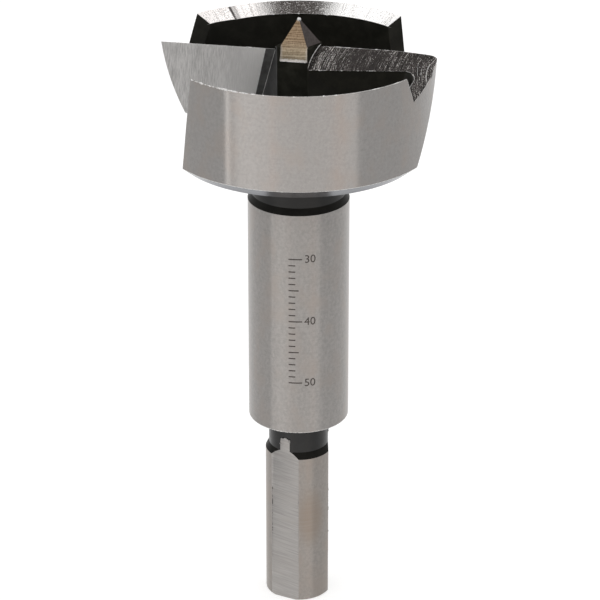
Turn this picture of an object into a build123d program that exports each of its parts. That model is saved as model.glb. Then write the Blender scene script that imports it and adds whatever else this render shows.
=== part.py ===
from build123d import *
from math import asin, cos, degrees, radians, sin, tan
import os

# Forstner bit for boring flat-bottomed 40 mm holes, turned and milled from one bar of tool steel.
# Lengths are in millimetres and angles in degrees. The origin is the centre of the shank's end
# face and +Z runs along the axis towards the spike. The cutting edges lie along X. Everything on
# the head comes in pairs, half a turn apart, so each cut is described for the lip on the +X side,
# which cuts towards +Y.

# Turned stem, from the shank end upwards
shank_diameter = 10.0
shank_length = 24.4
shank_end_chamfer = 0.25
lower_neck_diameter = 9.0
lower_neck_length = 5.8
body_diameter = 15.0
body_length = 35.2
body_edge_chamfer = 0.15
upper_neck_diameter = 14.0
upper_neck_length = 7.4
shoulder_height = 1.0
flare_radius = 4.5

# Three flats for the drill chuck, which run out on the lower neck
flat_count = 3
flat_distance = 4.43
first_flat_angle = 13.2
flat_end_gap = 3.1
flat_wheel_radius = 2.0

# Turned head
head_diameter = 40.0
head_height = 15.9
head_chamfer_width = 1.9
head_chamfer_height = 1.6
rim_wall = 2.0
rim_bevel_height = 1.35
hub_above_rim = 0.4
pocket_depth = 9.2
core_top_radius = 3.0

# Cutting lips
lip_below_rim = 0.15
edge_offset = 1.22
rake_angle = 31.3
lip_thickness = 3.2
lip_taper_angle = 3.3
lip_corner_radius = 1.5
relief_angle = 21.9
relief_run = 9.7
relief_wall_angle = 20.8
relief_cutter_radius = 12.5
relief_inner_reach = 2.0

# Chip windows ahead of the lips, and the web that is left between them
window_wall_offset = 3.35
window_wall_angle = 61.6
rim_end_angle = 51.8
rim_end_lean = 8.5
web_half_width = 1.9
web_step = 1.6
web_face_angle = 75.5

# Centre spike
spike_above_lip = 4.45
spike_front_angle = 17.7
spike_side_angle = 22.6
spike_side_turn = 58.0
spike_base_shift = 0.3
spike_tip_width = 0.12
front_facet_reach = 2.4

# How far each cutting solid runs past the steel that it removes
overrun = 5.0
bevel_overrun = 0.5
bevel_overrun_angle = 10.0

# Heights and radii that follow from the sizes above
shank_radius = shank_diameter / 2
lower_neck_radius = lower_neck_diameter / 2
body_radius = body_diameter / 2
upper_neck_radius = upper_neck_diameter / 2
head_radius = head_diameter / 2
pocket_radius = head_radius - rim_wall
body_bottom = shank_length + lower_neck_length
body_top = body_bottom + body_length
underside = body_top + upper_neck_length
rim_top = underside + head_height
hub_top = rim_top + hub_above_rim
pocket_floor = rim_top - pocket_depth
lip_height = rim_top - lip_below_rim
spike_tip = lip_height + spike_above_lip
cut_top = hub_top + overrun

# Bottom of the notch that the relief leaves at the start of each rim arc
notch_y = edge_offset - relief_run
notch_z = lip_height - relief_run * tan(radians(relief_angle))


def turned_stem():
    """Shank, necks and body, with the flare and the cone that carry the head."""
    flare_start = (upper_neck_radius, underside - flare_radius)
    flare_end = (upper_neck_radius + flare_radius, underside)
    with BuildSketch(Plane.XZ) as section:
        with BuildLine():
            Polyline(
                (0, 0),
                (shank_radius - shank_end_chamfer, 0),
                (shank_radius, shank_end_chamfer),
                (shank_radius, shank_length),
                (lower_neck_radius, shank_length + shoulder_height),
                (lower_neck_radius, body_bottom),
                (body_radius - body_edge_chamfer, body_bottom),
                (body_radius, body_bottom + body_edge_chamfer),
                (body_radius, body_top),
                (upper_neck_radius, body_top + shoulder_height),
                flare_start,
            )
            TangentArc(flare_start, flare_end, tangent=(0, 1))
            Polyline(
                flare_end,
                (core_top_radius, pocket_floor),
                (0, pocket_floor),
                (0, 0),
            )
        make_face()
    return revolve(section.sketch, Axis.Z)


def turned_head():
    """Plain disc of the head, up to the raw top face of the hub."""
    with BuildSketch(Plane.XZ) as section:
        Polygon(
            (0, underside),
            (head_radius - head_chamfer_width, underside),
            (head_radius, underside + head_chamfer_height),
            (head_radius, hub_top),
            (0, hub_top),
            align=None,
        )
    return revolve(section.sketch, Axis.Z)


def lip_back_plane():
    """Back of the lip: parallel to the chip face, but closing in a little towards the rim."""
    rake = radians(rake_angle)
    reach = lip_thickness / cos(rake)
    turn = Plane.XY.rotated((0, 0, lip_taper_angle))
    direction = turn.from_local_coords(Vector(0, -cos(rake), sin(rake)))
    return Plane(origin=(web_step, edge_offset - reach, lip_height), z_dir=direction)


def web_face_plane():
    """Upright end of the web, where the lip leaves the hub."""
    turn = radians(web_face_angle)
    return Plane(origin=(web_step, -web_half_width, 0), z_dir=(-sin(turn), -cos(turn), 0))


def pocket():
    """Space behind the lip, inside the rim, milled down to the floor with a rounded outer corner."""
    half = Rectangle(head_diameter, head_diameter, align=(Align.CENTER, Align.MAX))
    outline = Circle(pocket_radius) & (Pos(0, -web_half_width) * half)
    block = Pos(0, 0, pocket_floor) * extrude(outline, cut_top - pocket_floor)
    behind_lip = split(block, lip_back_plane(), keep=Keep.TOP)
    outer_corner = behind_lip.edges().filter_by(GeomType.ELLIPSE).sort_by(Axis.X)[-1]
    beside_web = split(block, web_face_plane(), keep=Keep.TOP)
    return fillet(outer_corner, lip_corner_radius) + beside_web


def chip_plane():
    """Raked chip face, seen from the window side."""
    rake = radians(rake_angle)
    return Plane(origin=(0, edge_offset, lip_height), z_dir=(0, cos(rake), -sin(rake)))


def rim_end_plane():
    """Leading end of the rim arc, square to the window's wall and leaning into the window below."""
    at = radians(rim_end_angle)
    corner = (head_radius * cos(at), head_radius * sin(at), rim_top)
    wall = radians(window_wall_angle)
    return Plane(origin=corner, z_dir=(cos(wall), -sin(wall), tan(radians(rim_end_lean))))


def window():
    """Opening ahead of the lip, right through the head and its rim, up to an upright wall."""
    wall = Rot(0, 0, -window_wall_angle) * Pos(0, window_wall_offset)
    outline = wall * Rectangle(2 * head_diameter, head_diameter, align=(Align.CENTER, Align.MIN))
    block = Pos(0, 0, underside - overrun) * extrude(outline, cut_top - underside + overrun)
    ahead_of_lip = split(block, chip_plane(), keep=Keep.TOP)
    return split(ahead_of_lip, rim_end_plane(), keep=Keep.TOP)


def relief():
    """Clearance milled behind the edge by a round cutter fed in from the rim, down to the notch."""
    slope = tan(radians(relief_angle))
    wall_y = notch_y - (cut_top - notch_z) * tan(radians(relief_wall_angle))
    profile = Plane.YZ * Polygon(
        (edge_offset + overrun, lip_height + overrun * slope),
        (notch_y, notch_z),
        (wall_y, cut_top),
        (edge_offset + overrun, cut_top),
        align=None,
    )
    slot = extrude(profile, head_diameter, dir=(1, 0, 0))
    width = 2 * relief_cutter_radius
    feed = Circle(relief_cutter_radius) + Rectangle(head_diameter, width, align=(Align.MIN, Align.CENTER))
    centre = (relief_inner_reach + relief_cutter_radius, (edge_offset + notch_y) / 2)
    return slot & (Pos(*centre) * extrude(feed, cut_top))


def rim_bevel():
    """Ground bevel that leaves the rim arc sharp at its outer edge, from its leading end to the notch."""
    slope = rim_bevel_height / rim_wall
    with BuildSketch(Plane.XZ) as section:
        Polygon(
            (pocket_radius - bevel_overrun, rim_top - rim_bevel_height - bevel_overrun * slope),
            (head_radius + bevel_overrun, rim_top + bevel_overrun * slope),
            (head_radius + bevel_overrun, cut_top),
            (pocket_radius - bevel_overrun, cut_top),
            align=None,
        )
    start = rim_end_angle - 180 - bevel_overrun_angle
    end = degrees(asin(notch_y / head_radius))
    return Rot(0, 0, start) * revolve(section.sketch, Axis.Z, end - start)


def spike():
    """Four-sided point, standing on the hub."""
    height = spike_tip - hub_top
    front = height * tan(radians(spike_front_angle))
    side = height * tan(radians(spike_side_angle))
    turn = radians(spike_side_turn)
    near = (side - front * cos(turn)) / sin(turn)
    far = (side + front * cos(turn)) / sin(turn)
    corners = [(-far, -front), (near, -front), (far, front), (-near, front)]
    shrink = spike_tip_width / (near + far)
    base = Polygon(*[(x + spike_base_shift, y) for x, y in corners], align=None)
    tip = Polygon(*[(x * shrink, y * shrink) for x, y in corners], align=None)
    return loft([Pos(0, 0, hub_top) * base, Pos(0, 0, spike_tip) * tip])


def front_facet():
    """The spike's front facet, carried on down into the edge of the hub."""
    slope = tan(radians(spike_front_angle))
    foot = spike_tip - web_half_width / slope
    front = -web_half_width - overrun * slope
    profile = Plane.YZ * Polygon(
        (front, foot - overrun),
        ((cut_top - spike_tip) * slope, cut_top),
        (front, cut_top),
        align=None,
    )
    return Pos(-front_facet_reach, 0, 0) * extrude(profile, web_step + front_facet_reach, dir=(1, 0, 0))


def chuck_flat():
    """One flat of the shank, where the wheel leaves the steel just short of the body."""
    end = body_bottom - flat_end_gap
    outside = shank_diameter
    with BuildSketch(Plane.XZ) as section:
        with BuildLine():
            run_out = TangentArc(
                (flat_distance, end),
                (flat_distance + flat_wheel_radius, end + flat_wheel_radius),
                tangent=(0, 1),
            )
            Polyline(
                run_out @ 1,
                (outside, end + flat_wheel_radius),
                (outside, -overrun),
                (flat_distance, -overrun),
                (flat_distance, end),
            )
        make_face()
    return extrude(section.sketch, shank_radius, both=True)


def half_turn_pair(cut):
    """The same cut for both lips."""
    return [cut, Rot(0, 0, 180) * cut]


def forstner_bit():
    """Head cut out by pockets and windows, set on the stem, then ground to its edges."""
    head = turned_head()
    for cut in half_turn_pair(pocket()) + half_turn_pair(window()):
        head -= cut
    bit = head + turned_stem()
    for cut in half_turn_pair(relief()) + half_turn_pair(rim_bevel()) + half_turn_pair(front_facet()):
        bit -= cut
    bit += spike()
    for index in range(flat_count):
        bit -= Rot(0, 0, first_flat_angle + index * 360 / flat_count) * chuck_flat()
    return bit


os.makedirs("parts", exist_ok=True)
export_step(forstner_bit(), "parts/forstner_bit.step")
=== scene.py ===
from math import acos, asin, atan2, cos, degrees, hypot, pi, radians, sin, sqrt, tan

import bmesh
import bpy
import numpy as np
from mathutils import Matrix, Vector


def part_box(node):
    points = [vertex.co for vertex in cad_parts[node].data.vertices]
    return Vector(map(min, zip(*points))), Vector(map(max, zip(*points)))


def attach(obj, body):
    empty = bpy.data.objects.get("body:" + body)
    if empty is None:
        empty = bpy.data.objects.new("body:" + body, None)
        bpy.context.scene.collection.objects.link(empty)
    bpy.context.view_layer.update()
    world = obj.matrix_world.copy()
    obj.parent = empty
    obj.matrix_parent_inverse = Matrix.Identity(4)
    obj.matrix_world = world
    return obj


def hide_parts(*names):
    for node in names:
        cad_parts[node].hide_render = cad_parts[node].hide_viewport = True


# Finishes of a 40 mm forstner bit: ground and satin steel, black oxide, milled clearances and the
# burrs on its edges. Shapes are worked out in millimetres and scaled to metres at the end. The
# axis is Z, the cutting edges lie along X, and all that is said of one lip holds for the other
# after a half turn. The lip described is the one on the +X side, which cuts towards +Y.

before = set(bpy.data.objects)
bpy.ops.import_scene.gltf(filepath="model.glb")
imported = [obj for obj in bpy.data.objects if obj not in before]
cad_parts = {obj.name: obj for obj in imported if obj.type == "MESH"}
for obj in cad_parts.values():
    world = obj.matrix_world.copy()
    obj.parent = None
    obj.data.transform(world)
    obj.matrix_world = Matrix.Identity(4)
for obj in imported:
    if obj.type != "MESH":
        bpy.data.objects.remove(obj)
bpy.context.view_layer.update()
bit_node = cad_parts["forstner_bit"]

MM = 0.001
head_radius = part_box("forstner_bit")[1].x / MM
spike_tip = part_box("forstner_bit")[1].z / MM

# Head
rim_wall = 2.0
rim_bevel_height = 1.35
rim_top = 88.7
lip_height = 88.55
edge_offset = 1.22
lip_thickness = 3.2
lip_taper_angle = 3.3
lip_corner_radius = 1.5
rake_angle = 31.3
relief_angle = 21.9
relief_wall_angle = 20.8
relief_cutter_radius = 12.5
relief_inner_reach = 2.0
notch_y = -8.48
rim_end_angle = 51.8
rim_end_lean = 8.5
window_wall_offset = 3.35
window_wall_angle = 61.6
web_step = 1.6
web_half_width = 1.9
spike_front_angle = 17.7
front_facet_reach = 2.4
hub_top = 89.1
head_bottom = 72.8
head_chamfer_height = 1.6
flare_radius = 4.5
upper_neck_radius = 7.0

# Stem
body_top = 65.4
body_bottom = 30.2
body_radius = 7.5
body_edge_chamfer = 0.15
shoulder_height = 1.0
lower_neck_radius = 4.5
shank_radius = 5.0
shank_length = 24.4
flat_distance = 4.43
flat_end_gap = 3.1
first_flat_angle = 13.2
flat_count = 3
run_out_height = 0.5
run_out_points = 18
seam_from = 6.5
seam_to = 19.0
shank_stain = (2.66, -4.23, 14.35)

# What follows from these sizes: angles in radians, slopes, the foot of the notch, the middle of the
# relief's cutter, and the radii of the pocket and of the bevel's middle
rake = radians(rake_angle)
lip_turn = radians(lip_taper_angle)
window_turn = radians(window_wall_angle)
rake_slope = tan(rake)
relief_slope = tan(radians(relief_angle))
relief_wall_slope = tan(radians(relief_wall_angle))
notch_z = lip_height - (edge_offset - notch_y) * relief_slope
cutter_x = relief_inner_reach + relief_cutter_radius
cutter_y = (edge_offset + notch_y) / 2
pocket_radius = head_radius - rim_wall
bevel_radius = head_radius - rim_wall / 2

# Factors of a half turn, and the ways that the chuck flats and the back of the lip look
half_turn = (-1, -1, 1)
flat_ways = np.radians(first_flat_angle + np.arange(flat_count) * 360 / flat_count)
lip_back = (cos(rake) * sin(lip_turn), -cos(rake) * cos(lip_turn), sin(rake))

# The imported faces: distance of merged points, slack of a cut in millimetres, and angles in degrees up
# to which faces are one flat face or, once dressed, one smooth surface
weld_distance = 0.001
cut_slack = 0.00001
flat_angle = 0.3
crease_angle = 25

# Telling the faces apart: cosine of the turn from a plane, distance from it and from the relief's
# inner wall, and how far from the axis the spike, its front facets and the web's upright faces reach
same_way = 0.9995
near_enough = 0.01
wall_slack = 0.05
spike_reach = 3
facet_reach = 6
web_reach = 6.5

# A turned face: how even it is along its normal, its widest angle round the axis, its least radius,
# how straight out it looks, and the least level part of its normal
turned_slack = 0.09
turned_angle = 7
turned_radius = 2
turned_out = 0.99
turned_level = 0.2

# Edge of the ground part of the chip face, which the wheel leaves short of the web, how far out from
# it painted light pales the face, and its streaks
ground_start = 4.55
ground_lean = 0.29
ground_limit = ground_start + ground_lean * lip_height
painted_light_reach = 9
streak_lean = 0.19

# Grid of the milled clearances, the pitch of the arcs in their finish, and the depth of the arcs in
# their shape, with two pitches and the share of the finer one
comb_row = 0.2
comb_column = 0.06
arc_pitch = 0.3
arc_depth = 0.012
wide_ripple = 0.42
fine_ripple = 0.19
fine_share = 0.6

# Scratches across the rear bevel, the first of them a painted dark reflection and the second the
# painted shade beside it: angle round the axis, half width and strength
scratches_and_painted_reflection = [(131.9, 0.26, 1.0), (130.7, 0.8, 0.5), (126.4, 0.14, 0.2), (122.5, 0.12, 0.25),
                   (68.0, 0.1, 0.2)]

# Rear bevel round the axis: its middle as the photograph shows it, where its pits catch the light
# most, how far off they catch less, and where its duller end, worn and darkened by painted shade,
# starts and is full
rear_middle = 97.0
pits_near = 18
pits_far = 34
worn_shaded_from = 105
worn_shaded_to = 125

# The rear rim's trailing end: its top is a little shorter by an angle and higher, its bevel thinner
rear_from = 131.0
rear_over = 15.0
rear_end = 155.2
rear_cut = 0.8
rear_splay = 1.3
rear_rise = 0.3
rear_thin = 0.1
rear_slack = 0.02

# Wear of the outer corner of the +X lip
worn_from = 14.0
worn_depth = 0.3
worn_power = 1.2
worn_back = 2.2
corner_depth = 0.36
corner_length = 0.35

# Steel rolled over the outer edge of the clearance behind that corner
roll_width = 0.25
roll_middle = -3.0
roll_spread = 1.0
roll_drop = 0.16
roll_least = 0.02

# Arcs of the rim: where each one starts and ends, for the one in front
rim_start = rim_end_angle - 180
rim_finish = degrees(asin((notch_y - (rim_top - notch_z) * relief_wall_slope) / head_radius))

# Strip of the relief's inner wall that was torn with the floor
wall_foot = 0.28

# Straw facet of the spike: its middle, off the axis on the side away from the web's step, and the
# height below which a pale painted highlight covers its foot
straw_middle = (front_facet_reach - web_step) / 2
straw_foot = 87.5

# Random heights of a ripple, half of them for each side of a line's start
ripple_count = 4096

# Beads of burrs and painted edge highlights: corners round a bead, distance between its rings,
# pitches of its coarse and fine swellings, share of the fine ones, what a swelling has to pass, and
# its pointed ends: length and least share
bead_ring = 6
bead_step = 0.08
swell_pitch = 0.8
tooth_pitch = 0.2
tooth_share = 0.6
swell_floor = 0.4
bead_end = 0.3
bead_least = 0.02

# Where the beads of burrs and painted edge highlights start and end: how far short of the ends of
# their edges, or at which x or y
edge_start_x = 3.2
edge_short = 0.2
heel_start = 0.5
heel_short = 2.2
pocket_end_y = -7.0
foot_start_y = -2.95
foot_over = 0.1
clearance_short = 0.6
window_foot_short = 4
window_top_short = 0.1
wall_edge_short = 0.01

# The front rim's edge is turned over a little, and spans this angle in radians
rim_turn = 0.05
rim_span = 1.7

# Burrs on the front rim: angle round the axis, half length in degrees, and half width
rim_burrs = [(-127.2, 0.6, 0.13), (-124.3, 0.5, 0.09), (-121.7, 1.2, 0.17), (-119.6, 0.5, 0.09),
             (-117.5, 0.9, 0.15), (-115.4, 0.5, 0.09), (-112.2, 1.7, 0.17), (-109.8, 1.8, 0.22),
             (-106.2, 2.4, 0.14), (-101.5, 2.2, 0.12), (-97.6, 1.0, 0.14), (-93.2, 0.6, 0.08),
             (-81.0, 0.5, 0.08), (-69.1, 0.5, 0.15), (-64.2, 0.6, 0.1), (-47.0, 3.0, 0.07),
             (-36.0, 2.5, 0.07)]

# Worn tip of the spike, and the roll at the foot of its front facet
tip_half_width = 0.31
tip_shift = 0.06
tip_sink = 0.6
tip_rings = 13
tip_hole = 0.001
foot_roll = 0.04

# Depth scale on the body: depths below the cutting edge, its ticks and numbers
scale_from = 30
scale_to = 50
scale_angle = -90.5
tick_lengths = {10: 2.0, 5: 1.5, 1: 1.0}
tick_width = 0.17
number_height = 1.75
number_gap = 0.3
mark_cut = 0.2
mark_reach = 6
mark_thickness = 0.012

# The photograph's camera, seen from the bit's axis
camera_azimuth = 10.83
camera_pitch = 24.74
camera_reach = 420.46
camera_height = 242.29
camera_lens = 186.5
camera_shift_x = 0.00232
camera_shift_y = 0.00108


def node(kind, inputs, **settings):
    """Adds a shader node to the tree that its linked inputs come from, sets its other inputs, and
    gives back its first output that is in use."""
    tree = next(value.id_data for value in inputs.values() if isinstance(value, bpy.types.NodeSocket))
    made = tree.nodes.new(kind)
    for name, value in settings.items():
        setattr(made, name, value)
    for name, value in inputs.items():
        if isinstance(value, bpy.types.NodeSocket):
            tree.links.new(value, made.inputs[name])
        else:
            made.inputs[name].default_value = value
    return next(output for output in made.outputs if output.enabled)


def maths(operation, first, second=0.0, third=0.0):
    """One scalar sum."""
    return node("ShaderNodeMath", {0: first, 1: second, 2: third}, operation=operation)


def times(first, second):
    """Product of two values."""
    return maths("MULTIPLY", first, second)


def added(rest, value, share=1.0):
    """The rest and a share of a value."""
    return maths("MULTIPLY_ADD", value, share, rest)


def apart(first, second):
    """How far apart two values are."""
    return maths("ABSOLUTE", maths("SUBTRACT", first, second))


def vector(operation, first, second=(0.0, 0.0, 0.0)):
    """One vector sum."""
    return node("ShaderNodeVectorMath", {0: first, 1: second}, operation=operation)


def point(x, y, z=0.0):
    """Three values as one place."""
    return node("ShaderNodeCombineXYZ", {"X": x, "Y": y, "Z": z})


def axes(place):
    """The three coordinates of a place."""
    return node("ShaderNodeSeparateXYZ", {0: place}).node.outputs


def spread(value, low, high, to_low=0.0, to_high=1.0):
    """Value from low to high, eased onto to_low to to_high and held beyond."""
    limits = {"Value": value, "From Min": low, "From Max": high, "To Min": to_low, "To Max": to_high}
    return node("ShaderNodeMapRange", limits, interpolation_type="SMOOTHSTEP")


def ramp(value, stops):
    """Colour along a line of (place, colour) stops."""
    colour = node("ShaderNodeValToRGB", {"Fac": value})
    line = colour.node.color_ramp
    for _ in range(len(stops) - 2):
        line.elements.new(0.5)
    for element, (place, shade) in zip(line.elements, stops):
        element.position = place
        element.color = (*shade, 1.0)
    return colour


def blend(share, first, second):
    """Colour that goes from first to second as share goes from 0 to 1."""
    tree = share.id_data
    mix = tree.nodes.new("ShaderNodeMix")
    mix.data_type = "RGBA"
    for socket, value in ((0, share), (6, first), (7, second)):
        if isinstance(value, bpy.types.NodeSocket):
            tree.links.new(value, mix.inputs[socket])
        else:
            mix.inputs[socket].default_value = (*value, 1.0)
    return mix.outputs[2]


def grain(place, stretch, detail=2.0, roughness=0.5):
    """Noise from 0 to 1 with stretch cycles to the millimetre along X, Y and Z."""
    scaled = vector("MULTIPLY", place, stretch)
    settings = {"Vector": scaled, "Scale": 1.0, "Detail": detail, "Roughness": roughness}
    return node("ShaderNodeTexNoise", settings)


def finish(name, constants):
    """A material with the given constants on its shader, and its coordinates in millimetres."""
    material = bpy.data.materials.new(name)
    material.use_nodes = True
    tree = material.node_tree
    shader = tree.nodes["Principled BSDF"]
    for socket, value in constants.items():
        shader.inputs[socket].default_value = value
    place = tree.nodes.new("ShaderNodeTexCoord").outputs["Object"]
    return material, shader, vector("MULTIPLY", place, (1 / MM, 1 / MM, 1 / MM))


def feed(shader, colour, roughness, height=None, depth=0.0, metallic=None):
    """Links the shader's colour and roughness, and where they are given a bump of a depth in
    millimetres and how metallic it is."""
    links = {"Base Color": colour, "Roughness": roughness, "Metallic": metallic}
    if height:
        settings = {"Height": height, "Distance": depth * MM, "Strength": 1.0}
        links["Normal"] = node("ShaderNodeBump", settings)
    for name, value in links.items():
        if value:
            shader.id_data.links.new(value, shader.inputs[name])


def half_turned(place):
    """The three coordinates, with the lip on the -X side turned onto the other."""
    x, y, z = axes(place)
    side = maths("SIGN", x)
    return times(x, side), times(y, side), z


def turned_steel(name, colour, mottle, roughness, metallic, edge, stain=None):
    """Steel ground between centres and tumbled: hair lines round the axis over a fine mottle, and on
    some faces a brown stain about the given point."""
    constants = {"Metallic": metallic, "Anisotropic": 1.0, "Anisotropic Rotation": 0.25,
                 "Specular Tint": (edge, edge, edge, 1.0)}
    material, shader, place = finish(name, constants)
    lines = grain(place, (0.12, 0.12, 7.0), detail=3.0)
    blotches = grain(place, (2.3, 2.3, 1.9), detail=5.0, roughness=0.72)
    stains = grain(place, (0.35, 0.35, 0.22), detail=3.0)
    dark, light = np.multiply(colour, 1 - mottle), np.multiply(colour, 1 + mottle)
    warm, brown = np.multiply(colour, (1.05, 0.98, 0.93)), np.multiply(colour, (0.95, 0.86, 0.78))
    shade = blend(spread(blotches, 0.3, 0.7), dark, light)
    shade = blend(spread(stains, 0.45, 0.7, 0.0, 0.6), shade, warm)
    if stain:
        away = vector("MULTIPLY", vector("SUBTRACT", place, stain), (1.0, 1.0, 0.5))
        reach = added(vector("LENGTH", away), blotches)
        shade = blend(spread(reach, 1.4, 3.6, 1.0, 0.0), shade, brown)
    shade = blend(spread(lines, 0.35, 0.75, 0.0, 0.3), shade, light)
    gloss = spread(blotches, 0.3, 0.7, roughness - 0.03, roughness + 0.03)
    feed(shader, shade, gloss, added(lines, blotches, 1.5), 0.0015 * roughness)
    around = shader.id_data.nodes.new("ShaderNodeTangent")
    around.direction_type, around.axis = "RADIAL", "Z"
    shader.id_data.links.new(around.outputs[0], shader.inputs["Tangent"])
    return material


def black_oxide(name, colour, roughness, gloss, painted_sheen=0.0):
    """Hot-blackened steel, faintly clouded, with a fine machined tooth, and on some faces a painted
    sheen that stands in for the pale floor's glancing reflection."""
    constants = {"Metallic": 0.0, "IOR": 1.5, "Specular IOR Level": gloss, "Sheen Weight": painted_sheen,
                 "Sheen Roughness": 0.35, "Sheen Tint": (0.94, 0.97, 1.0, 1.0)}
    material, shader, place = finish(name, constants)
    cloud = grain(place, (0.5, 0.5, 0.5), detail=4.0, roughness=0.6)
    tooth = grain(place, (4.0, 4.0, 4.0), detail=3.0)
    shade = blend(spread(cloud, 0.35, 0.7), colour, np.multiply(colour, 1.7))
    dullness = spread(tooth, 0.2, 0.8, roughness - 0.06, roughness + 0.06)
    feed(shader, shade, dullness, tooth, 0.01)
    return material


def chip_steel():
    """Chip face: short fine streaks that the wheel left down the face, leaning out from the edge, on
    steel painted paler towards where the wheel stopped, a painted light against the window wall's
    shade."""
    material, shader, place = finish("chip_face_ground", {"Metallic": 0.05})
    x, y, z = half_turned(place)
    across, down = added(x, z, ground_lean), times(z, 0.07)
    fine = point(added(x, z, streak_lean), down)
    streaks = grain(fine, (6.0, 6.0, 1.0), detail=4.0, roughness=0.7)
    broad = grain(point(across, down), (0.5, 0.6, 1.0))
    # Painted light: the face pales towards the web, against the shade of the window's wall
    inner = spread(across, ground_limit + painted_light_reach, ground_limit)
    dark = blend(inner, (0.5, 0.496, 0.489), (0.93, 0.928, 0.922))
    light = blend(inner, (0.84, 0.833, 0.824), (1.0, 1.0, 0.99))
    shade = blend(spread(added(streaks, broad, 0.45), 0.55, 0.92), dark, light)
    feed(shader, shade, spread(streaks, 0.2, 0.8, 0.35, 0.5), streaks, 0.014)
    return material


def milled_steel():
    """Clearance behind the lip: torn bright crests along the cutter's arcs, in dull dark steel. They
    lie close together near the hub and at the outer corner, and far apart between them."""
    material, shader, place = finish("clearance_milled", {})
    x, y, z = half_turned(place)
    drop = maths("SUBTRACT", y, cutter_y)
    chord = maths("SUBTRACT", relief_cutter_radius**2, maths("POWER", drop, 2.0))
    phase = added(x, maths("SQRT", chord))
    sheet = point(phase, times(y, 0.3))
    arcs = grain(sheet, (5.6, 0.7, 1.0), detail=3.0, roughness=0.75)
    torn = grain(place, (7.5, 7.5, 7.5), roughness=0.6)
    along = grain(sheet, (0.22, 0.1, 1.0), detail=1.0)
    near_hub = spread(phase, 17.0, 21.0, 1.0, 0.0)
    near_corner = spread(phase, 25.5, 28.5)
    waves = maths("SINE", times(phase, 2 * pi / arc_pitch))
    close = added(0.053, waves, 0.04)
    level = added(added(torn, along, 0.3), added(near_hub, near_corner), close)
    crest = spread(added(level, arcs, 0.75), 1.18, 1.235)
    tone = added(times(torn, 0.4), arcs, 0.6)
    dull = blend(spread(tone, 0.38, 0.62), (0.016, 0.014, 0.013), (0.092, 0.079, 0.074))
    shade = blend(crest, dull, (0.86, 0.828, 0.795))
    gloss, metallic = spread(arcs, 0.2, 0.8, 0.5, 0.35), spread(crest, 0.0, 1.0, 0.7, 0.15)
    feed(shader, shade, gloss, added(arcs, torn, 0.5), 0.03, metallic)
    return material


def bevel_steel():
    """Bevel of the rim: bright from the wheel and peppered with fine pits, duller and pinker towards
    the rear rim's trailing end from wear and painted shade, with a few scratches straight down it,
    of which one is a painted dark reflection with painted shade beside it."""
    material, shader, place = finish("rim_bevel_ground", {})
    x, y, z = axes(place)
    angle = maths("ARCTAN2", y, x)
    arc = times(angle, bevel_radius)
    sheet = point(arc, z)
    pits = grain(place, (5.0, 5.0, 5.0), detail=3.0, roughness=0.7)
    hairs = grain(sheet, (5.0, 0.3, 1.0), detail=3.0, roughness=0.7)
    clouds = grain(sheet, (0.35, 0.3, 1.0), detail=3.0)
    # Partly wear, partly painted shade: darker and pinker towards the rear rim's trailing end
    worn_and_shaded = spread(angle, radians(worn_shaded_from), radians(worn_shaded_to))
    level = added(added(times(hairs, 0.42), pits, 0.58), clouds, 0.3)
    worn = spread(added(level, worn_and_shaded, 0.05), 0.68, 0.8, 0.0, 0.7)
    bright = blend(times(worn_and_shaded, 0.8), (0.95, 0.94, 0.93), (0.93, 0.885, 0.865))
    shade = blend(worn, bright, (0.42, 0.385, 0.37))
    aside = apart(angle, radians(rear_middle))
    share = spread(aside, radians(pits_near), radians(pits_far), 0.9, 0.3)
    specks = times(spread(pits, 0.56, 0.63), share)
    # The first two marks are a painted dark reflection and the painted shade beside it
    for middle, width, strength in scratches_and_painted_reflection:
        away = apart(arc, radians(middle) * bevel_radius)
        line = spread(away, width * 0.4, width, strength, 0.0)
        mark = times(line, spread(pits, 0.2, 0.5))
        shade = blend(mark, shade, (0.05, 0.045, 0.043))
    gloss = spread(pits, 0.3, 0.7, 0.05, 0.12)
    feed(shader, shade, gloss, times(pits, share), 0.013, maths("SUBTRACT", 1.0, specks))
    return material


def chamfer_steel():
    """Chamfer under the head: turned bright and left so, with faint lines round it, and a band of
    painted shade that darkens its foot."""
    dulled = {"Metallic": 1.0, "Specular Tint": (0.62, 0.62, 0.63, 1.0)}
    material, shader, place = finish("head_chamfer_turned", dulled)
    lines = grain(place, (0.15, 0.15, 9.0))
    shade = blend(spread(lines, 0.3, 0.7), (0.255, 0.26, 0.27), (0.31, 0.315, 0.326))
    # Painted shade: the foot of the chamfer is darkened
    foot = spread(axes(place)["Z"], head_bottom, head_bottom + 1.1, 0.3, 0.0)
    shade = blend(foot, shade, (0.12, 0.125, 0.13))
    feed(shader, shade, spread(lines, 0.3, 0.7, 0.14, 0.2), lines, 0.0008)
    return material


def flat_steel():
    """Chuck flats: nearly level wheel lines, a little darker and lighter by turns."""
    material, shader, place = finish("chuck_flat_ground", {"Metallic": 1.0})
    x, y, z = axes(place)
    sheet = point(x, y, added(z, x, 0.1))
    lines = grain(sheet, (0.2, 0.2, 4.5), detail=4.0, roughness=0.65)
    bands = grain(sheet, (0.1, 0.1, 0.9))
    shade = blend(spread(lines, 0.3, 0.7), (0.335, 0.325, 0.318), (0.475, 0.464, 0.453))
    shade = blend(spread(bands, 0.4, 0.7, 0.0, 0.4), shade, (0.39, 0.37, 0.355))
    feed(shader, shade, spread(lines, 0.3, 0.7, 0.32, 0.42), lines, 0.004)
    return material


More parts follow.
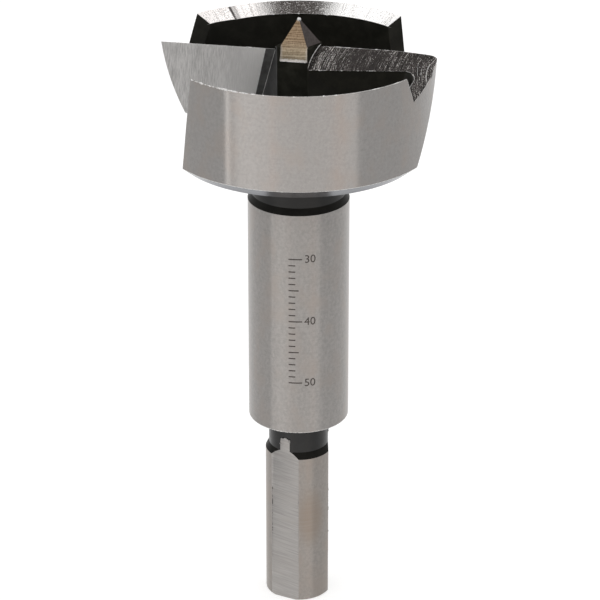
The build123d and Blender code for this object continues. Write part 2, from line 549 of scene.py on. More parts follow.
def straw_steel():
    """Front of the spike: fine level wheel lines on steel that the grinding heat has turned straw,
    browner towards the tip, with pale painted highlights along its foot and sides."""
    material, shader, place = finish("spike_front_straw", {})
    x, y, z = axes(place)
    rise = maths("SUBTRACT", z, straw_foot)
    lines = grain(place, (0.06, 0.06, 8.0), detail=3.0, roughness=0.7)
    specks = grain(place, (9.0, 9.0, 1.0))
    both = added(times(lines, 0.8), specks, 0.2)
    line = spread(both, 0.4, 0.61)
    straw = blend(line, (0.22, 0.17, 0.105), (0.66, 0.57, 0.43))
    brown = blend(line, (0.14, 0.09, 0.055), (0.47, 0.36, 0.24))
    toned = blend(spread(rise, 0.1, 3.1), straw, brown)
    facing = times(maths("SIGN", y), -1.0)
    aside = maths("ABSOLUTE", added(straw_middle, x, facing))
    # Painted highlights: pale margins along the facet's sides and its foot, less metallic at the foot
    sides = times(spread(aside, 1.55, 1.95), spread(rise, 2.1, 1.1))
    foot = spread(added(rise, specks, 0.6), 0.24, 0.0)
    pale = maths("MAXIMUM", times(sides, 0.32), times(foot, 0.9))
    shade = blend(pale, toned, (0.95, 0.92, 0.89))
    gloss = spread(lines, 0.3, 0.7, 0.3, 0.45)
    feed(shader, shade, gloss, both, 0.018, added(1.0, foot, -0.7))
    return material


def plain_steel(name, colour, roughness, metallic=1.0):
    """Small bright or dull steel surfaces, lightly clouded."""
    material, shader, place = finish(name, {"Metallic": metallic})
    cloud = grain(place, (3.0, 3.0, 3.0), detail=3.0)
    shade = blend(spread(cloud, 0.3, 0.7), np.multiply(colour, 0.75), colour)
    gloss = spread(cloud, 0.3, 0.7, roughness - 0.05, roughness + 0.05)
    feed(shader, shade, gloss, cloud, 0.006)
    return material


def laser_mark():
    """Dull brown-black scale that a laser leaves on steel."""
    material, shader, place = finish("laser_mark", {"Metallic": 0.0, "IOR": 1.45})
    speckle = grain(place, (6.0, 6.0, 6.0), detail=3.0)
    shade = blend(spread(speckle, 0.3, 0.7), (0.05, 0.042, 0.038), (0.095, 0.08, 0.072))
    feed(shader, shade, spread(speckle, 0.3, 0.7, 0.5, 0.65))
    return material


# Finishes of the dressed bit: the function that makes each one, and what it is told
FINISHES = {
    "wall": (turned_steel, "head_wall_ground", (0.424, 0.411, 0.399), 0.08, 0.2, 1.0, 0.75),
    "chamfer": (chamfer_steel,),
    "body": (turned_steel, "body_satin", (0.436, 0.42, 0.406), 0.14, 0.33, 0.65, 1.0),
    "shank": (turned_steel, "shank_satin", (0.425, 0.396, 0.37), 0.13, 0.36, 0.6, 1.0, shank_stain),
    "flat": (flat_steel,),
    "oxide": (black_oxide, "black_oxide", (0.0125, 0.0122, 0.0098), 0.42, 0.1),
    "shoulder": (black_oxide, "shoulder_oxide", (0.0078, 0.0075, 0.0062), 0.42, 0.1),
    "back": (black_oxide, "lip_back_oxide", (0.0074, 0.007, 0.0048), 0.42, 0.08),
    "web": (black_oxide, "web_oxide", (0.019, 0.019, 0.0155), 0.6, 0.0),
    "land": (black_oxide, "land_oxide", (0.078, 0.0785, 0.078), 0.45, 0.25),
    "neck": (black_oxide, "neck_oxide", (0.0072, 0.0071, 0.0067), 0.35, 0.42),
    # The lower neck's sheen is a painted reflection of the pale floor at glancing angles
    "lower neck": (black_oxide, "lower_neck_oxide", (0.0075, 0.0077, 0.0078), 0.33, 0.5, 0.25),
    "window": (black_oxide, "window_oxide", (0.027, 0.0275, 0.028), 0.45, 0.25),
    "chip": (chip_steel,),
    "flank": (milled_steel,),
    "bevel": (bevel_steel,),
    "straw": (straw_steel,),
    "side": (plain_steel, "spike_side_dark", (0.11, 0.097, 0.093), 0.36),
    "end": (plain_steel, "shank_end_faced", (0.36, 0.35, 0.34), 0.4),
}
order = list(FINISHES)


def packed_solid():
    """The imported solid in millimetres, with its doubles merged and its flat faces whole."""
    solid = bmesh.new()
    solid.from_mesh(bit_node.data)
    solid.transform(Matrix.Scale(1 / MM, 4))
    bmesh.ops.remove_doubles(solid, verts=solid.verts, dist=weld_distance)
    limit = radians(flat_angle)
    bmesh.ops.dissolve_limit(solid, angle_limit=limit, verts=solid.verts, edges=solid.edges)
    return solid


def classify(solid):
    """Name of the finish of every face, told from where it lies and which way it looks. Its plain
    numbers are cosines that part one way from another with room to spare."""
    solid.faces.ensure_lookup_table()
    centre = np.array([face.calc_center_median() for face in solid.faces])
    normal = np.array([face.normal for face in solid.faces])
    side = np.where(centre[:, :1] < 0, -1.0, 1.0)
    turned = normal * np.hstack((side, side, np.ones_like(side)))
    radius = np.hypot(centre[:, 0], centre[:, 1])
    outward = (normal[:, :2] * centre[:, :2]).sum(1) / np.maximum(radius, 1e-6)
    height, up = centre[:, 2], normal[:, 2]
    x_way, y_way = abs(normal[:, 0]), abs(normal[:, 1])
    relief, front = radians(relief_angle), radians(spike_front_angle)
    chip_way = turned @ np.array((0, cos(rake), -sin(rake)))
    flank_way = turned @ np.array((0, -sin(relief), cos(relief)))
    back_way = turned @ np.array(lip_back)
    front_way = y_way * cos(front) + up * sin(front)
    window_way = abs(normal @ np.array((sin(window_turn), cos(window_turn), 0)))
    flat_directions = np.array((np.cos(flat_ways), np.sin(flat_ways)))
    flat_way = (normal[:, :2] @ flat_directions).max(1)
    flat_place = (centre[:, :2] @ flat_directions).max(1)
    on_flat = (flat_way > same_way) & (abs(flat_place - flat_distance) < near_enough)
    run_out = (flat_way > 0.6) & (up < -0.02) & (height > body_bottom - flat_end_gap)
    in_head = height > head_bottom
    in_rim = in_head & (radius > pocket_radius - 0.1)
    outside = (radius > pocket_radius) & (outward > 0.5)
    rules = [
        ("straw", (front_way > same_way) & (radius < facet_reach) & (height > notch_z)),
        ("side", (height > hub_top) & (radius < spike_reach) & (up < 0.9)),
        ("chip", in_head & (chip_way > same_way)),
        ("flank", in_head & (flank_way > same_way)),
        ("bevel", in_rim & (outward < -0.5) & (up > 0.7)),
        ("chamfer", outside & (up < -0.3)),
        ("wall", in_head & outside & (abs(up) < 0.9)),
        ("window", in_head & (window_way > same_way)),
        ("web", in_head & (radius < web_reach) & ((x_way > 0.85) | (y_way > 0.99))),
        ("web", in_head & (abs(height - hub_top) < near_enough)),
        ("back", in_head & (back_way > same_way)),
        ("oxide", in_head),
        ("neck", height > body_top + 0.9 * shoulder_height),
        ("shoulder", height > body_top),
        ("body", (height > body_bottom) & (radius > body_radius - 2 * body_edge_chamfer)),
        ("shoulder", height > body_bottom - near_enough),
        ("flat", on_flat | run_out),
        ("lower neck", height > shank_length + 0.9 * shoulder_height),
        ("shoulder", height > shank_length),
        ("end", up < -0.99),
    ]
    return np.select([rule for _, rule in rules], [name for name, _ in rules], "shank")


def cut(solid, faces, way, places):
    """Cuts these faces by planes square to a direction, at the given distances from the origin."""
    way = Vector(way).normalized()
    edges = dict.fromkeys(edge for face in faces for edge in face.edges)
    vertices = dict.fromkeys(vertex for face in faces for vertex in face.verts)
    geometry = [*faces, *edges, *vertices]
    for place in places:
        plane = {"plane_co": way * place, "plane_no": way, "dist": cut_slack}
        geometry = bmesh.ops.bisect_plane(solid, geom=geometry, **plane)["geom"]


def faces_of(solid, name):
    """Faces that have this finish."""
    return [face for face in solid.faces if face.material_index == order.index(name)]


def part_ground(solid):
    """Parts each chip face along the line where the wheel stopped, and leaves the inner part dark."""
    for side in (1, -1):
        faces = [face for face in faces_of(solid, "chip") if side * face.calc_center_median().x > 0]
        way = Vector((side, 0, ground_lean))
        cut(solid, faces, way, [ground_limit / way.length])
    for face in faces_of(solid, "chip"):
        centre = face.calc_center_median()
        if abs(centre.x) + ground_lean * centre.z < ground_limit:
            face.material_index = order.index("land")


def on_relief_wall(face, side):
    """Whether a face lies on the relief's inner wall, a cylinder about the cutter, and faces it."""
    centre, normal = face.calc_center_median(), face.normal
    across, along = cutter_x - centre.x * side, cutter_y - centre.y * side
    reach = hypot(across, along)
    facing = (normal.x * across + normal.y * along) * side / reach
    near = abs(reach - relief_cutter_radius) < wall_slack
    return centre.z > notch_z and near and across > 0 and facing > 0.9


def part_wall_foot(solid):
    """Parts the foot of each relief's inner wall, which is torn like the floor."""
    slope = radians(relief_angle)
    for side in (1, -1):
        way = Vector((0, -side * sin(slope), cos(slope)))
        foot = way.dot(Vector((0, side * edge_offset, lip_height + wall_foot)))
        wall = [face for face in faces_of(solid, "web") if on_relief_wall(face, side)]
        cut(solid, wall, way, [foot])
        for face in faces_of(solid, "web"):
            if on_relief_wall(face, side) and way.dot(face.calc_center_median()) < foot:
                face.material_index = order.index("flank")


def comb_clearance(solid):
    """Cuts the milled clearances into a fine grid, ready for the cutter's arcs."""
    rows = edge_offset - comb_row * np.arange(1, (edge_offset - notch_y) / comb_row)
    columns = np.arange(-head_radius, head_radius, comb_column)
    cut(solid, faces_of(solid, "flank"), (0, 1, 0), [*rows, *-rows])
    cut(solid, faces_of(solid, "flank"), (1, 0, 0), columns)


def ripple(along, pitch, seed):
    """Random heights from -1 to 1 at every pitch along a line, joined by half waves of a cosine."""
    heights = np.random.default_rng(seed).uniform(-1, 1, ripple_count)
    place = np.asarray(along) / pitch + ripple_count / 2
    step = np.floor(place).astype(int)
    share = (1 - np.cos(np.pi * (place - step))) / 2
    return heights[step] * (1 - share) + heights[step + 1] * share


def on_circle(radius, angle, height):
    """Points at a radius and an angle in radians about the axis, and at a height."""
    return np.stack(np.broadcast_arrays(radius * np.cos(angle), radius * np.sin(angle), height), 1)


def on_clearance(x, y):
    """Points of the milled clearance, which falls in a plane with y from the cutting edge."""
    return np.stack((x, y, lip_height - (edge_offset - y) * relief_slope), 1)


def wear(place):
    """Dubs the outer corner of the +X lip: the edge sinks as a power of the way out past worn_from,
    and faster over the last fraction of a millimetre. The edge stays in the chip face, and the drop
    fades back over the clearance as a bell curve."""
    x, y, z = place.T
    out = np.clip((x - worn_from) / (head_radius - worn_from), 0, 1)
    drop = worn_depth * out**worn_power + corner_depth * np.exp(-(head_radius - x) / corner_length)
    drop = drop * (x > worn_from) * (z > notch_z)
    back = edge_offset - y
    shift = drop * rake_slope * np.exp(-(back**2))
    return np.stack((x, y - shift, z - drop * np.exp(-((back / worn_back) ** 2))), 1)


def cut_rear(place):
    """Shapes the rear rim's trailing end. The rim's points turn back about the axis and rise, by
    rear_cut and rear_rise times a share that grows in straight lines with the angle and with the
    height above the notch; its inner side turns by rear_splay more. The bevel's inner edge also moves
    up and out along the bevel."""
    x, y, z = place.T
    radius, angle = np.hypot(x, y), np.degrees(np.arctan2(y, x))
    on_rim = (radius > pocket_radius - rear_slack) & (angle < rear_end)
    inner = np.maximum(abs(radius - pocket_radius), abs(z - rim_top + rim_bevel_height)) < rear_slack
    late = np.clip((angle - rear_from) / rear_over, 0, 1) * on_rim
    share = late * np.clip((z - notch_z) / (rim_top - notch_z), 0, 1)
    thin = rear_thin * late * inner
    radius = radius + thin * rim_wall / rim_bevel_height
    turn = (rear_cut + rear_splay * (head_radius - radius) / rim_wall) * share
    return on_circle(radius, np.radians(angle - turn), z + rear_rise * share + thin)


def shape_surface(mesh):
    """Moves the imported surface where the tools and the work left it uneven: arcs of the milling
    cutter on the clearances, at constant x plus the cutter's chord, the worn corner of one lip, and
    the trailing end of the rear rim."""
    vertex, face = corners(mesh)
    place = read(mesh.vertices, "co", 3)
    milled = np.zeros(len(place), bool)
    finish_of = read(mesh.polygons, "material_index", 1, int)
    milled[vertex[finish_of[face] == order.index("flank")]] = True
    side = np.sign(place[milled, 0])
    x, y = place[milled, 0] * side, place[milled, 1] * side
    phase = x + np.sqrt(relief_cutter_radius**2 - (y - cutter_y) ** 2)
    arcs = ripple(phase, wide_ripple, 1) + fine_share * ripple(phase, fine_ripple, 2)
    place[milled, 2] += arc_depth * arcs
    place[milled] = wear(place[milled])
    mesh.vertices.foreach_set("co", (cut_rear(place) * MM).ravel())
    mesh.update()


def read(items, name, width, kind=float):
    """One attribute of all items as an array."""
    values = np.empty(len(items) * width, kind)
    items.foreach_get(name, values)
    return values.reshape(-1, width) if width > 1 else values


def corners(mesh):
    """Vertex and face of every face corner."""
    totals = read(mesh.polygons, "loop_total", 1, int)
    return read(mesh.loops, "vertex_index", 1, int), np.repeat(np.arange(len(totals)), totals)


def set_normals(mesh):
    """Gives turned faces the true normals of their cylinder, cone or flare, and leaves the rest
    smooth up to crease_angle. A face is turned if it looks straight out or in, spans a small angle
    round the axis, and radius times the outward part of its normal plus height times the upward part
    is the same at its corners."""
    mesh.set_sharp_from_angle(angle=radians(crease_angle))
    vertex, face = corners(mesh)
    place = read(mesh.vertices, "co", 3)[vertex] / MM
    normal = read(mesh.polygons, "normal", 3)
    centre = read(mesh.polygons, "center", 3) / MM
    starts = read(mesh.polygons, "loop_start", 1, int)
    level = np.hypot(centre[:, 0], centre[:, 1])
    outward = (normal[:, :2] * centre[:, :2]).sum(1) / np.maximum(level, 1e-6)
    flank = np.sqrt(np.maximum(1 - normal[:, 2] ** 2, 0))
    lean = np.where(outward > 0, flank, -flank)
    radius = np.hypot(place[:, 0], place[:, 1])
    across = place[:, 0] * centre[face, 1] - place[:, 1] * centre[face, 0]
    span = np.abs(across) / np.maximum(radius * level[face], 1e-6)
    line = radius * lean[face] + place[:, 2] * normal[face, 2]
    even = np.maximum.reduceat(line, starts) - np.minimum.reduceat(line, starts) < turned_slack
    narrow = np.maximum.reduceat(span, starts) < sin(radians(turned_angle))
    turned = even & narrow & (np.abs(outward) > turned_out * flank)
    turned &= (flank > turned_level) & (level > turned_radius)
    slope, rise = lean[face], normal[face, 2]
    flare_r, flare_z = upper_neck_radius + flare_radius, head_bottom - flare_radius
    flare = (radius < flare_r + near_enough) & (radius > upper_neck_radius - near_enough)
    flare &= (centre[face, 2] > flare_z) & (centre[face, 2] < head_bottom)
    slope = np.where(flare, (flare_r - radius) / flare_radius, slope)
    rise = np.where(flare, (flare_z - place[:, 2]) / flare_radius, rise)
    true = np.stack((slope * place[:, 0] / radius, slope * place[:, 1] / radius, rise), 1)
    plain = read(mesh.corner_normals, "vector", 3)
    mesh.normals_split_custom_set(np.where(turned[face][:, None], true, plain))


def bead(path, width):
    """Thin closed bead along a path: rings of circles square to it, as wide as width says."""
    way = np.gradient(path, axis=0)
    way /= np.linalg.norm(way, axis=1, keepdims=True)
    aside = np.eye(3)[np.abs(way).mean(0).argmin()]
    first = np.cross(way, aside)
    first /= np.linalg.norm(first, axis=1, keepdims=True)
    second = np.cross(way, first)
    turn = np.linspace(0, 2 * np.pi, bead_ring, endpoint=False)[None, :, None]
    circles = np.cos(turn) * first[:, None] + np.sin(turn) * second[:, None]
    rings = path[:, None] + width[:, None, None] * circles
    last = (len(path) - 1) * bead_ring
    start = np.arange(0, last, bead_ring)[:, None]
    here = np.arange(bead_ring)
    after = (here + 1) % bead_ring
    cells = (start + here, start + after, start + bead_ring + after, start + bead_ring + here)
    quads = np.stack(cells, -1).reshape(-1, 4).tolist()
    return rings.reshape(-1, 3), [*quads, here[::-1].tolist(), (last + here).tolist()]


def ragged(path, fine, coarse, seed):
    """Half width of a burr along its edge: fine, with random swellings up to coarse, and pointed
    ends."""
    steps = np.linalg.norm(np.diff(path, axis=0), axis=1)
    along = np.concatenate(([0], np.cumsum(steps)))
    swell = ripple(along, swell_pitch, seed) + tooth_share * ripple(along, tooth_pitch, seed + 1)
    taper = np.clip(np.minimum(along, along[-1] - along) / bead_end, bead_least, 1)
    return (fine + (coarse - fine) * np.clip(swell - swell_floor, 0, 1)) * taper


def straight(first, last):
    """Points along a straight edge."""
    first, last = np.array(first, float), np.array(last, float)
    count = int(np.linalg.norm(last - first) / bead_step) + 2
    return first + np.linspace(0, 1, count)[:, None] * (last - first)


def rim_arc():
    """Outer edge of the front rim: a circle about the axis from the rim's leading end to the notch.
    The edge is turned a little outwards and down."""
    count = int(head_radius * rim_span / bead_step)
    angle = np.radians(np.linspace(rim_start, rim_finish, count))
    return on_circle(head_radius + rim_turn, angle, rim_top - rim_turn)


def rim_width(path):
    """Half width of the rim's burr: hair-fine, with the long bright dashes of the front arc, each one
    half an ellipse with a rough outline."""
    angle = np.degrees(np.arctan2(path[:, 1], path[:, 0]))
    width = ragged(path, 0.02, 0.05, 11)
    rough = 0.9 + 0.25 * ripple(angle, 0.25, 12)
    for place, half_length, size in rim_burrs:
        share = np.clip(1 - np.abs(angle - place) / half_length, 0, 1)
        width = np.maximum(width, size * np.sqrt(share) * rough)
    return width


def bevel_foot():
    """Inner edge of the front rim's bevel: the outer edge's circle, in and down to the pocket."""
    shrink = pocket_radius / (head_radius + rim_turn)
    return rim_arc() * (shrink, shrink, 1) - (0, 0, rim_bevel_height - rim_turn)


def cutting_edge():
    """Where the chip face meets the clearance, from the hub out to the corner."""
    last = head_radius - edge_short
    return straight((edge_start_x, edge_offset, lip_height), (last, edge_offset, lip_height))


def heel_edge():
    """Where the clearance meets the back of the lip: both planes give y as a sum of shares of x."""
    across, back, up = lip_back
    x = np.arange(web_step + heel_start, pocket_radius - heel_short, bead_step)
    fixed = back * (edge_offset - lip_thickness / cos(rake)) + up * relief_slope * edge_offset
    return on_clearance(x, (fixed - across * (x - web_step)) / (back + up * relief_slope))


def pocket_corner():
    """Rounded outer corner of the pocket on the clearance: an arc of the fillet's radius from the
    heel to the pocket's wall, then the wall's own circle towards the notch."""
    middle_y = heel_edge()[-1, 1] - lip_corner_radius
    middle_x = sqrt((pocket_radius - lip_corner_radius) ** 2 - middle_y**2)
    last = pi / 2 - atan2(middle_y, middle_x)
    turn = np.arange(0, last, bead_step / lip_corner_radius)
    x, y = middle_x + lip_corner_radius * np.sin(turn), middle_y + lip_corner_radius * np.cos(turn)
    along = np.arange(y[-1] - bead_step, pocket_end_y, -bead_step)
    wall = np.sqrt(pocket_radius**2 - along**2)
    return on_clearance(np.concatenate((x, wall)), np.concatenate((y, along)))


def foot_arc():
    """Arc of the cutter where the torn foot of the relief's inner wall ends."""
    y = np.arange(foot_start_y, edge_offset + foot_over, bead_step)
    x = cutter_x - np.sqrt(relief_cutter_radius**2 - (y - cutter_y) ** 2)
    return on_clearance(x + near_enough, y) + (0, 0, wall_foot)


def clearance_rim():
    """Outer edge of the clearance: its plane cut by the head's cylinder, from corner to notch."""
    y = np.arange(edge_offset - clearance_short, notch_y, -bead_step)
    return on_clearance(np.sqrt(head_radius**2 - y**2), y)


def curl(base, bend, middle, first, last):
    """Torn curl on the clearance near its outer corner: x = base + bend * (y - middle)^2, for y from
    first to last."""
    y = np.arange(first, last, -bead_step)
    return on_clearance(base + bend * (y - middle) ** 2, y)


def corner_roll():
    """Roll of torn steel over the clearance's outer edge: its half width is a bell curve of y."""
    path = clearance_rim()
    width = roll_width * np.exp(-(((path[:, 1] - roll_middle) / roll_spread) ** 2))
    kept = width > roll_least
    inward = 1 - roll_drop / head_radius
    return bead(wear(path[kept] * (inward, inward, 1) - (0, 0, roll_drop)), width[kept])


def notch_side():
    """Edge of the notch on the rim's side: the relief's leaning wall cut by the head's cylinder."""
    z = np.arange(notch_z, rim_top, bead_step)
    y = notch_y - (z - notch_z) * relief_wall_slope
    return np.stack((np.sqrt(head_radius**2 - y**2), y, z), 1)


def window_corner():
    """Inner corner of the window, where the chip plane meets the upright wall."""
    z = np.arange(head_bottom + window_foot_short, lip_height - window_top_short, bead_step)
    y = edge_offset + (z - lip_height) * rake_slope
    x = (window_wall_offset - y * cos(window_turn)) / sin(window_turn)
    return np.stack((x, y, z), 1)


def wall_edge():
    """Lower edge of the front wall, where the chamfer starts: a circle from the rim's leading end,
    whose plane gives its angle, to the chip face, whose plane gives its y."""
    level = head_bottom + head_chamfer_height
    lean = (rim_top - level) * tan(radians(rim_end_lean)) / head_radius
    first = acos(cos(radians(rim_end_angle) + window_turn) + lean) - window_turn - pi
    last = asin((edge_offset + (level - lip_height) * rake_slope) / head_radius)
    count = int(head_radius * (last - first) / bead_step)
    angle = np.linspace(first + wall_edge_short, last - wall_edge_short, count)
    return on_circle(head_radius, angle, level)


def body_edge():
    """Lower edge of the body, half way round."""
    angle = np.linspace(-pi, 0, int(body_radius * pi / bead_step))
    half = body_edge_chamfer / 2
    return on_circle(body_radius - half, angle, body_bottom + half)


def spike_foot():
    """Lower edge of the spike's front facet, rolled down over the face of the web, on the -Y side."""
    foot = spike_tip - web_half_width / tan(radians(spike_front_angle)) - foot_roll
    front = -web_half_width - near_enough
    return straight((-front_facet_reach, front, foot), (web_step, front, foot))


def burrs():
    """Every burr and painted edge highlight of the head and the body, each one there again half a turn
    on. A plan is a path, its half width where it is fine and where it swells, and the seed of its
    swellings."""
    plans = [
        (cutting_edge(), 0.015, 0.1, 31),
        (heel_edge(), 0.004, 0.08, 33),
        (bevel_foot(), 0.012, 0.16, 45),
        (foot_arc(), 0.06, 0.085, 35),
        (clearance_rim(), 0.012, 0.06, 37),
        (notch_side(), 0.015, 0.06, 39),
        (window_corner(), 0.035, 0.05, 41),
        (spike_foot(), 0.05, 0.14, 43),
        # The beads on the lower edges of the wall and of the body's front half are painted edge
        # highlights
        (wall_edge(), 0.03, 0.05, 47),
        (body_edge(), 0.05, 0.07, 49),
        (curl(18.99, 0.093, -2.5, -0.6, -4.4), 0.04, 0.1, 51),
        (curl(17.55, 0.055, -1.1, -1.0, -3.5), 0.02, 0.07, 53),
        (curl(18.2, 0.08, -2.0, -0.8, -3.6), 0.01, 0.06, 55),
        (pocket_corner(), 0.018, 0.07, 57),
    ]
    rim = rim_arc()
    rear = bead(cut_rear(rim * half_turn), ragged(rim, 0.02, 0.08, 21))
    made = [bead(wear(rim), rim_width(rim)), rear]
    for path, fine, coarse, seed in plans:
        made.append(bead(wear(path), ragged(path, fine, coarse, seed)))
        made.append(bead(cut_rear(path * half_turn), ragged(path, fine, coarse, seed + 100)))
    return made


def run_outs(fine, coarse, seed):
    """Ragged edge of each chuck flat where it fades out on the lower neck: along both sides of the
    strip that the flat cuts from the neck's cylinder, and over its top, a half ellipse."""
    half_angle = acos(flat_distance / lower_neck_radius)
    top = body_bottom - flat_end_gap
    side = np.arange(shank_length + 1.1 * shoulder_height, top, bead_step)
    turn = np.linspace(0, pi, run_out_points)
    share = np.concatenate((np.full_like(side, -1), -np.cos(turn), np.full_like(side, 1)))
    level = np.concatenate((side, top + run_out_height * np.sin(turn), side[::-1]))
    made = []
    for index, flat_way in enumerate(flat_ways):
        path = on_circle(lower_neck_radius, flat_way + half_angle * share, level)
        made.append(bead(path, ragged(path, fine, coarse, seed + 2 * index)))
    return made


def seams(side, inset, fine, coarse, seed):
    """Broken line down one edge of each chuck flat: side is 1 for the left edge, -1 for the right."""
    half_flat = side * (sqrt(shank_radius**2 - flat_distance**2) - inset)
    made = []
    for index, flat_way in enumerate(flat_ways):
        x = flat_distance * cos(flat_way) + half_flat * sin(flat_way)
        y = flat_distance * sin(flat_way) - half_flat * cos(flat_way)
        path = straight((x, y, seam_from), (x, y, seam_to))
        made.append(bead(path, ragged(path, fine, coarse, seed + index)))
    return made


def tip_bead():
    """Worn bright tip of the spike: a squat ball on its axis."""
    turn = np.linspace(0, np.pi, tip_rings)
    height = spike_tip - tip_half_width * (tip_sink - np.cos(turn))
    path = np.stack(np.broadcast_arrays(tip_shift, 0.0, height), 1)
    return bead(path, tip_half_width * np.sin(turn) + tip_hole)


def number(flat, depth):
    """Adds a depth in figures to the flat drawing of the scale, centred on its tick."""
    curve = bpy.data.curves.new("number", "FONT")
    curve.body = str(depth)
    curve.size = number_height
    curve.align_y = "CENTER"
    carrier = bpy.data.objects.new("number", curve)
    figures = bpy.data.meshes.new_from_object(carrier)
    figures.transform(Matrix.Translation((tick_lengths[10] + number_gap, lip_height - depth, 0)))
    flat.from_mesh(figures)
    bpy.data.objects.remove(carrier)


def depth_scale():
    """Depth below the cutting edge, marked on the body in millimetres. It is drawn flat, with its arc
    length along X and its height along Y, cut into strips, rolled onto the body and raised a hair."""
    flat = bmesh.new()
    for depth in range(scale_from, scale_to + 1):
        length = next(size for step, size in tick_lengths.items() if depth % step == 0)
        low, high = lip_height - depth - tick_width / 2, lip_height - depth + tick_width / 2
        outline = ((0, low), (length, low), (length, high), (0, high))
        flat.faces.new([flat.verts.new((x, y, 0)) for x, y in outline])
        if depth % 10 == 0:
            number(flat, depth)
    cut(flat, flat.faces, (1, 0, 0), np.arange(mark_cut, mark_reach, mark_cut))
    grown = bmesh.ops.extrude_face_region(flat, geom=flat.faces)
    raised = {item for item in grown["geom"] if isinstance(item, bmesh.types.BMVert)}
    for vertex in flat.verts:
        level = body_radius + (mark_thickness if vertex in raised else -mark_thickness)
        angle = radians(scale_angle) + vertex.co.x / body_radius
        vertex.co = (level * cos(angle), level * sin(angle), vertex.co.y)
    bmesh.ops.recalc_face_normals(flat, faces=flat.faces)
    flat.transform(Matrix.Scale(MM, 4))
    mesh = bpy.data.meshes.new("depth_scale")
    flat.to_mesh(mesh)
    flat.free()
    mesh.materials.append(laser_mark())
    return piece("depth_scale", mesh)


def placed(name, data):
    """An object of the scene."""
    made = bpy.data.objects.new(name, data)
    bpy.context.scene.collection.objects.link(made)
    return made


def piece(name, mesh):
    """A part of the bit's looks, which rides with it and takes its finish from its steel."""
    made = placed(name, mesh)
    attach(made, "root")
    return made


def joined(name, shells, material):
    """One piece from several closed shells of points and faces in millimetres."""
    points, faces, count = [], [], 0
    for vertices, cells in shells:
        points.append(vertices)
        faces += [[corner + count for corner in cell] for cell in cells]
        count += len(vertices)
    mesh = bpy.data.meshes.new(name)
    mesh.from_pydata((np.vstack(points) * MM).tolist(), [], faces)
    mesh.polygons.foreach_set("use_smooth", [True] * len(mesh.polygons))
    mesh.materials.append(material)
    return piece(name, mesh)


def camera():
    """The photograph's view: level horizon, looking down at the bit."""
    turn = radians(camera_azimuth)
    data = bpy.data.cameras.new("camera")
    data.lens = camera_lens
    data.shift_x = camera_shift_x
    data.shift_y = camera_shift_y
    data.clip_start = 0.01
    made = placed("camera", data)
    reach = camera_reach * MM
    made.location = (reach * sin(turn), -reach * cos(turn), camera_height * MM)
    made.rotation_euler = (radians(90 - camera_pitch), 0, turn)
    bpy.context.scene.camera = made


def studio():
    """Pale studio round the bit: a light table in front, greyer to the sides, two long soft boxes
    above. A band is a bearing from the camera's, a brightness and a tint."""
    world = bpy.data.worlds.new("studio")
    world.use_nodes = True
    bpy.context.scene.world = world
    tree = world.node_tree
    tree.nodes.clear()
    way = tree.nodes.new("ShaderNodeTexCoord").outputs["Generated"]
    turn = {"Vector": way, "Angle": -radians(camera_azimuth)}
    x, y, z = axes(node("ShaderNodeVectorRotate", turn, rotation_type="Z_AXIS"))
    bearing = maths("ARCTAN2", x, times(y, -1.0))
    warm, rose = (1.0, 0.972, 0.95), (1.0, 0.925, 0.88)
    grey, white = (1.0, 0.99, 0.985), (1.0, 1.0, 1.0)
    bands = [
        (-180, 1.3, white), (-145, 1.0, white), (-118, 0.72, grey), (-100, 0.62, grey),
        (-61.3, 0.6, grey), (-60.9, 2.6, warm), (-60.1, 2.6, warm), (-59.5, 0.74, warm),
        (-55.5, 0.78, warm), (-52.5, 1.02, warm), (-45, 1.06, warm), (-26, 0.98, warm),
        (-22, 1.0, rose), (-18, 0.92, warm), (0, 0.87, warm), (24, 0.86, warm), (34, 0.9, rose),
        (42, 0.88, warm), (48.5, 0.93, warm), (51, 0.6, grey), (90, 0.6, grey), (118, 0.72, grey),
        (145, 1.0, white), (180, 1.3, white),
    ]
    stops = [(angle / 360 + 0.5, [level * c for c in tint]) for angle, level, tint in bands]
    table = ramp(added(0.5, bearing, 1 / (2 * pi)), stops)
    below = blend(spread(z, -0.95, -0.8), (0.8, 0.79, 0.78), table)
    across = maths("ABSOLUTE", x)
    boxes = blend(spread(across, 0.185, 0.25), (0.08, 0.073, 0.069), (1.15, 1.15, 1.15))
    everywhere = blend(spread(z, 0.6, 0.85), below, boxes)
    rays = tree.nodes.new("ShaderNodeLightPath")
    seen = blend(rays.outputs["Is Camera Ray"], everywhere, white)
    light = node("ShaderNodeBackground", {"Color": seen, "Strength": 1.0})
    out = tree.nodes.new("ShaderNodeOutputWorld")
    tree.links.new(light, out.inputs["Surface"])


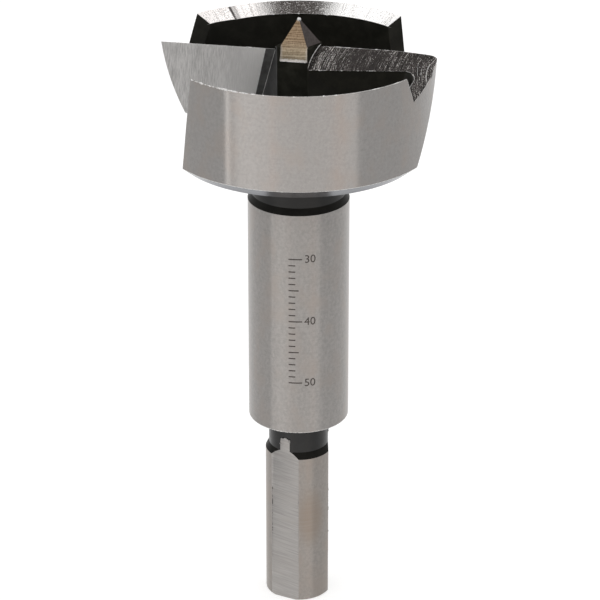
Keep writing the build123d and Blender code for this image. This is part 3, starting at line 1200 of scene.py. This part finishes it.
def floor():
    """Plain pale floor: white to the camera, but for the bit's own soft shadow."""
    mesh = bpy.data.meshes.new("floor")
    half = 1.5
    outline = [(-half, -half, 0), (half, -half, 0), (half, half, 0), (-half, half, 0)]
    mesh.from_pydata(outline, [], [(0, 1, 2, 3)])
    material = bpy.data.materials.new("floor")
    material.use_nodes = True
    tree = material.node_tree
    tree.nodes.clear()
    rays = tree.nodes.new("ShaderNodeLightPath")
    paper = tree.nodes.new("ShaderNodeBsdfDiffuse")
    paper.inputs["Color"].default_value = (0.6, 0.6, 0.6, 1.0)
    strength = times(rays.outputs["Is Camera Ray"], 0.62)
    glow = node("ShaderNodeEmission", {"Strength": strength})
    both = node("ShaderNodeAddShader", {0: paper.outputs[0], 1: glow})
    out = tree.nodes.new("ShaderNodeOutputMaterial")
    tree.links.new(both, out.inputs["Surface"])
    mesh.materials.append(material)
    made = placed("floor", mesh)
    made.visible_glossy = False


camera()
studio()
floor()
bpy.context.scene.view_settings.view_transform = "Standard"

solid = packed_solid()
for face, name in zip(solid.faces, classify(solid)):
    face.material_index = order.index(name)
    face.smooth = True
part_ground(solid)
part_wall_foot(solid)
comb_clearance(solid)
mesh = bpy.data.meshes.new("forstner_bit_dressed")
solid.to_mesh(mesh)
solid.free()
for make, *settings in FINISHES.values():
    mesh.materials.append(make(*settings))
shape_surface(mesh)
set_normals(mesh)
bit = piece("forstner_bit_dressed", mesh)
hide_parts("forstner_bit")

# Near-white beads: partly burrs, partly painted edge highlights, and the worn tip of the spike
bright = plain_steel("burr_and_highlight", (1.0, 0.995, 0.985), 0.3, 0.6)
steel = plain_steel("run_out_steel", (0.42, 0.41, 0.4), 0.4)
dark = plain_steel("line_dark", (0.06, 0.055, 0.05), 0.5)
bright_edges = [*run_outs(0.01, 0.25, 61), *seams(-1, 0.02, 0.004, 0.09, 81)]
joined("edge_burrs_and_highlights", [*burrs(), tip_bead()], bright)
joined("corner_roll", [corner_roll()], mesh.materials["clearance_milled"])
joined("flat_bright_edges", bright_edges, steel)
joined("flat_run_out_bites", run_outs(0.004, 0.2, 71), mesh.materials["lower_neck_oxide"])
joined("flat_edge_lines", seams(1, 0.17, 0.015, 0.08, 51), dark)
depth_scale()
